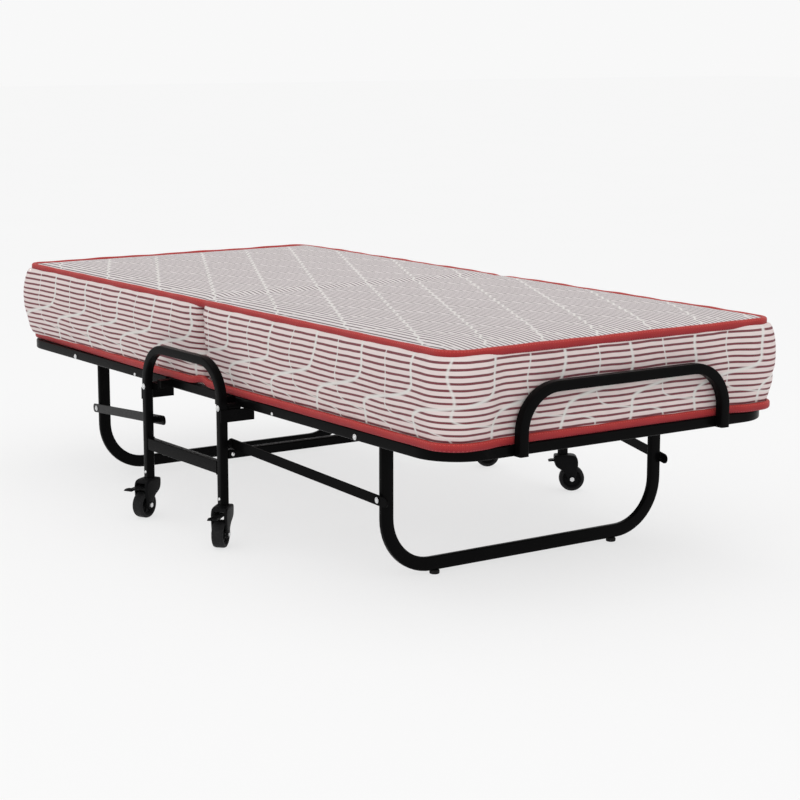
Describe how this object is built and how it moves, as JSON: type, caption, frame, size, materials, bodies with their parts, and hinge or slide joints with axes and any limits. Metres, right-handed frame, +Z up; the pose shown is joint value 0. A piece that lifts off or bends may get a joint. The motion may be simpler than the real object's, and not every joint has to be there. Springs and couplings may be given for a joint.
{
  "type": "folding cot",
  "caption": "Folding rollaway cot: two hinged decks on a castored wheel frame, fold-out U legs, end hoops and a striped mattress.",
  "frame": {"origin": "on the floor, under the middle of the bed", "axes": "+X to the foot end, along the bed; +Y to the sleeper's left; +Z up"},
  "size_m": [1.96, 1.1472, 0.532],
  "materials": {
    "black_powder_coat": "gloss black powder coat",
    "zinc_plate": "zinc-plated bolts and rivets",
    "foot_rubber": "matte",
    "wheel_rubber": "satin black tread",
    "caster_plastic": "satin black",
    "striped_ticking": "woven ticking with fine maroon stripes, quilted; red tape edging"
  },
  "bodies": {
    "wheel_frame": {"wheel_hoop_right": "black_powder_coat", "hoop_crossbar_right": "black_powder_coat", "centre_rail_right": "black_powder_coat", "wheel_hoop_left": "black_powder_coat", "hoop_crossbar_left": "black_powder_coat", "centre_rail_left": "black_powder_coat", "wheel_frame_cross_tube": "black_powder_coat", "mattress_middle": "striped_ticking", "rest_bracket_head_right": "black_powder_coat", "deck_pivot_bolt_head_right": "zinc_plate", "rest_bracket_head_left": "black_powder_coat", "deck_pivot_bolt_head_left": "zinc_plate", "rest_bracket_foot_right": "black_powder_coat", "deck_pivot_bolt_foot_right": "zinc_plate", "rest_bracket_foot_left": "black_powder_coat", "deck_pivot_bolt_foot_left": "zinc_plate"},
    "head_deck": {"head_deck_rail": "black_powder_coat", "head_deck_grid": "black_powder_coat", "head_deck_cross_member": "black_powder_coat", "head_end_hoop": "black_powder_coat", "mattress_head": "striped_ticking", "leg_pivot_bolt_head_right": "zinc_plate", "leg_pivot_bolt_head_left": "zinc_plate"},
    "head_leg": {"head_leg": "black_powder_coat", "foot_pad_head_right": "foot_rubber", "foot_pad_head_left": "foot_rubber"},
    "head_links": {"link_head_right": "black_powder_coat", "link_rivet_head_right": "zinc_plate", "link_head_left": "black_powder_coat", "link_rivet_head_left": "zinc_plate"},
    "caster_fork_head_right": {"caster_fork_head_right": "caster_plastic", "caster_axle_head_right": "zinc_plate"},
    "caster_wheel_head_right": {"caster_wheel_head_right": "wheel_rubber"},
    "brake_lever_head_right": {"brake_lever_head_right": "caster_plastic"},
    "caster_fork_head_left": {"caster_fork_head_left": "caster_plastic", "caster_axle_head_left": "zinc_plate"},
    "caster_wheel_head_left": {"caster_wheel_head_left": "wheel_rubber"},
    "brake_lever_head_left": {"brake_lever_head_left": "caster_plastic"},
    "foot_deck": {"foot_deck_rail": "black_powder_coat", "foot_deck_grid": "black_powder_coat", "foot_deck_cross_member": "black_powder_coat", "foot_end_hoop": "black_powder_coat", "mattress_foot": "striped_ticking", "leg_pivot_bolt_foot_right": "zinc_plate", "leg_pivot_bolt_foot_left": "zinc_plate"},
    "foot_leg": {"foot_leg": "black_powder_coat", "foot_pad_foot_right": "foot_rubber", "foot_pad_foot_left": "foot_rubber"},
    "foot_links": {"link_foot_right": "black_powder_coat", "link_rivet_foot_right": "zinc_plate", "link_foot_left": "black_powder_coat", "link_rivet_foot_left": "zinc_plate"},
    "caster_fork_foot_right": {"caster_fork_foot_right": "caster_plastic", "caster_axle_foot_right": "zinc_plate"},
    "caster_wheel_foot_right": {"caster_wheel_foot_right": "wheel_rubber"},
    "brake_lever_foot_right": {"brake_lever_foot_right": "caster_plastic"},
    "caster_fork_foot_left": {"caster_fork_foot_left": "caster_plastic", "caster_axle_foot_left": "zinc_plate"},
    "caster_wheel_foot_left": {"caster_wheel_foot_left": "wheel_rubber"},
    "brake_lever_foot_left": {"brake_lever_foot_left": "caster_plastic"}
  },
  "joints": [
    {"name": "head_fold", "type": "hinge", "parent": "wheel_frame", "child": "head_deck", "pos_m": [-0.1752, 0, 0.3125], "axis": [0, 1, 0], "range_deg": [0, 72], "deforming": ["mattress_middle"]},
    {"name": "head_leg_fold", "type": "hinge", "parent": "head_deck", "child": "head_leg", "pos_m": [-0.6456, 0, 0.3185], "axis": [0, -1, 0], "range_deg": [0, 41]},
    {"name": "head_link_swing", "type": "hinge", "parent": "wheel_frame", "child": "head_links", "pos_m": [-0.1752, 0, 0.23], "axis": [0, 1, 0], "range_deg": [0, 74]},
    {"name": "foot_fold", "type": "hinge", "parent": "wheel_frame", "child": "foot_deck", "pos_m": [0.1752, 0, 0.3125], "axis": [0, -1, 0], "range_deg": [0, 72], "deforming": ["mattress_middle"]},
    {"name": "foot_leg_fold", "type": "hinge", "parent": "foot_deck", "child": "foot_leg", "pos_m": [0.6456, 0, 0.3185], "axis": [0, 1, 0], "range_deg": [0, 41]},
    {"name": "foot_link_swing", "type": "hinge", "parent": "wheel_frame", "child": "foot_links", "pos_m": [0.1752, 0, 0.23], "axis": [0, -1, 0], "range_deg": [0, 74]},
    {"name": "caster_swivel_head_right", "type": "hinge", "parent": "wheel_frame", "child": "caster_fork_head_right", "pos_m": [-0.1752, -0.49, 0.1], "axis": [0, 0, 1], "continuous": true},
    {"name": "wheel_spin_head_right", "type": "hinge", "parent": "caster_fork_head_right", "child": "caster_wheel_head_right", "pos_m": [-0.16504, -0.51064, 0.0315], "axis": [0.8973, 0.4415, 0], "continuous": true},
    {"name": "brake_head_right", "type": "hinge", "parent": "caster_fork_head_right", "child": "brake_lever_head_right", "pos_m": [-0.17785, -0.48462, 0.0755], "axis": [0.8973, 0.4415, 0], "range_deg": [0, 12]},
    {"name": "caster_swivel_foot_right", "type": "hinge", "parent": "wheel_frame", "child": "caster_fork_foot_right", "pos_m": [0.1752, -0.49, 0.1], "axis": [0, 0, 1], "continuous": true},
    {"name": "wheel_spin_foot_right", "type": "hinge", "parent": "caster_fork_foot_right", "child": "caster_wheel_foot_right", "pos_m": [0.19092, -0.50679, 0.0315], "axis": [0.7302, 0.6833, 0], "continuous": true},
    {"name": "brake_foot_right", "type": "hinge", "parent": "caster_fork_foot_right", "child": "brake_lever_foot_right", "pos_m": [0.1711, -0.48562, 0.0755], "axis": [0.7302, 0.6833, 0], "range_deg": [0, 12]},
    {"name": "caster_swivel_head_left", "type": "hinge", "parent": "wheel_frame", "child": "caster_fork_head_left", "pos_m": [-0.1752, 0.49, 0.1], "axis": [0, 0, 1], "continuous": true},
    {"name": "wheel_spin_head_left", "type": "hinge", "parent": "caster_fork_head_left", "child": "caster_wheel_head_left", "pos_m": [-0.16504, 0.51064, 0.0315], "axis": [-0.8973, 0.4415, 0], "continuous": true},
    {"name": "brake_head_left", "type": "hinge", "parent": "caster_fork_head_left", "child": "brake_lever_head_left", "pos_m": [-0.17785, 0.48462, 0.0755], "axis": [-0.8973, 0.4415, 0], "range_deg": [0, 12]},
    {"name": "caster_swivel_foot_left", "type": "hinge", "parent": "wheel_frame", "child": "caster_fork_foot_left", "pos_m": [0.1752, 0.49, 0.1], "axis": [0, 0, 1], "continuous": true},
    {"name": "wheel_spin_foot_left", "type": "hinge", "parent": "caster_fork_foot_left", "child": "caster_wheel_foot_left", "pos_m": [0.18833, 0.50889, 0.0315], "axis": [-0.8211, 0.5707, 0], "continuous": true},
    {"name": "brake_foot_left", "type": "hinge", "parent": "caster_fork_foot_left", "child": "brake_lever_foot_left", "pos_m": [0.19118, 0.51299, 0.0755], "axis": [0.8211, -0.5707, 0], "range_deg": [0, 12]}
  ],
  "couplings": [
    {"joint": "head_leg_fold", "follows": "head_fold", "ratio": 0.5323},
    {"joint": "head_link_swing", "follows": "head_fold", "ratio": 0.9606},
    {"joint": "foot_leg_fold", "follows": "foot_fold", "ratio": 0.5323},
    {"joint": "foot_link_swing", "follows": "foot_fold", "ratio": 0.9606}
  ]
}
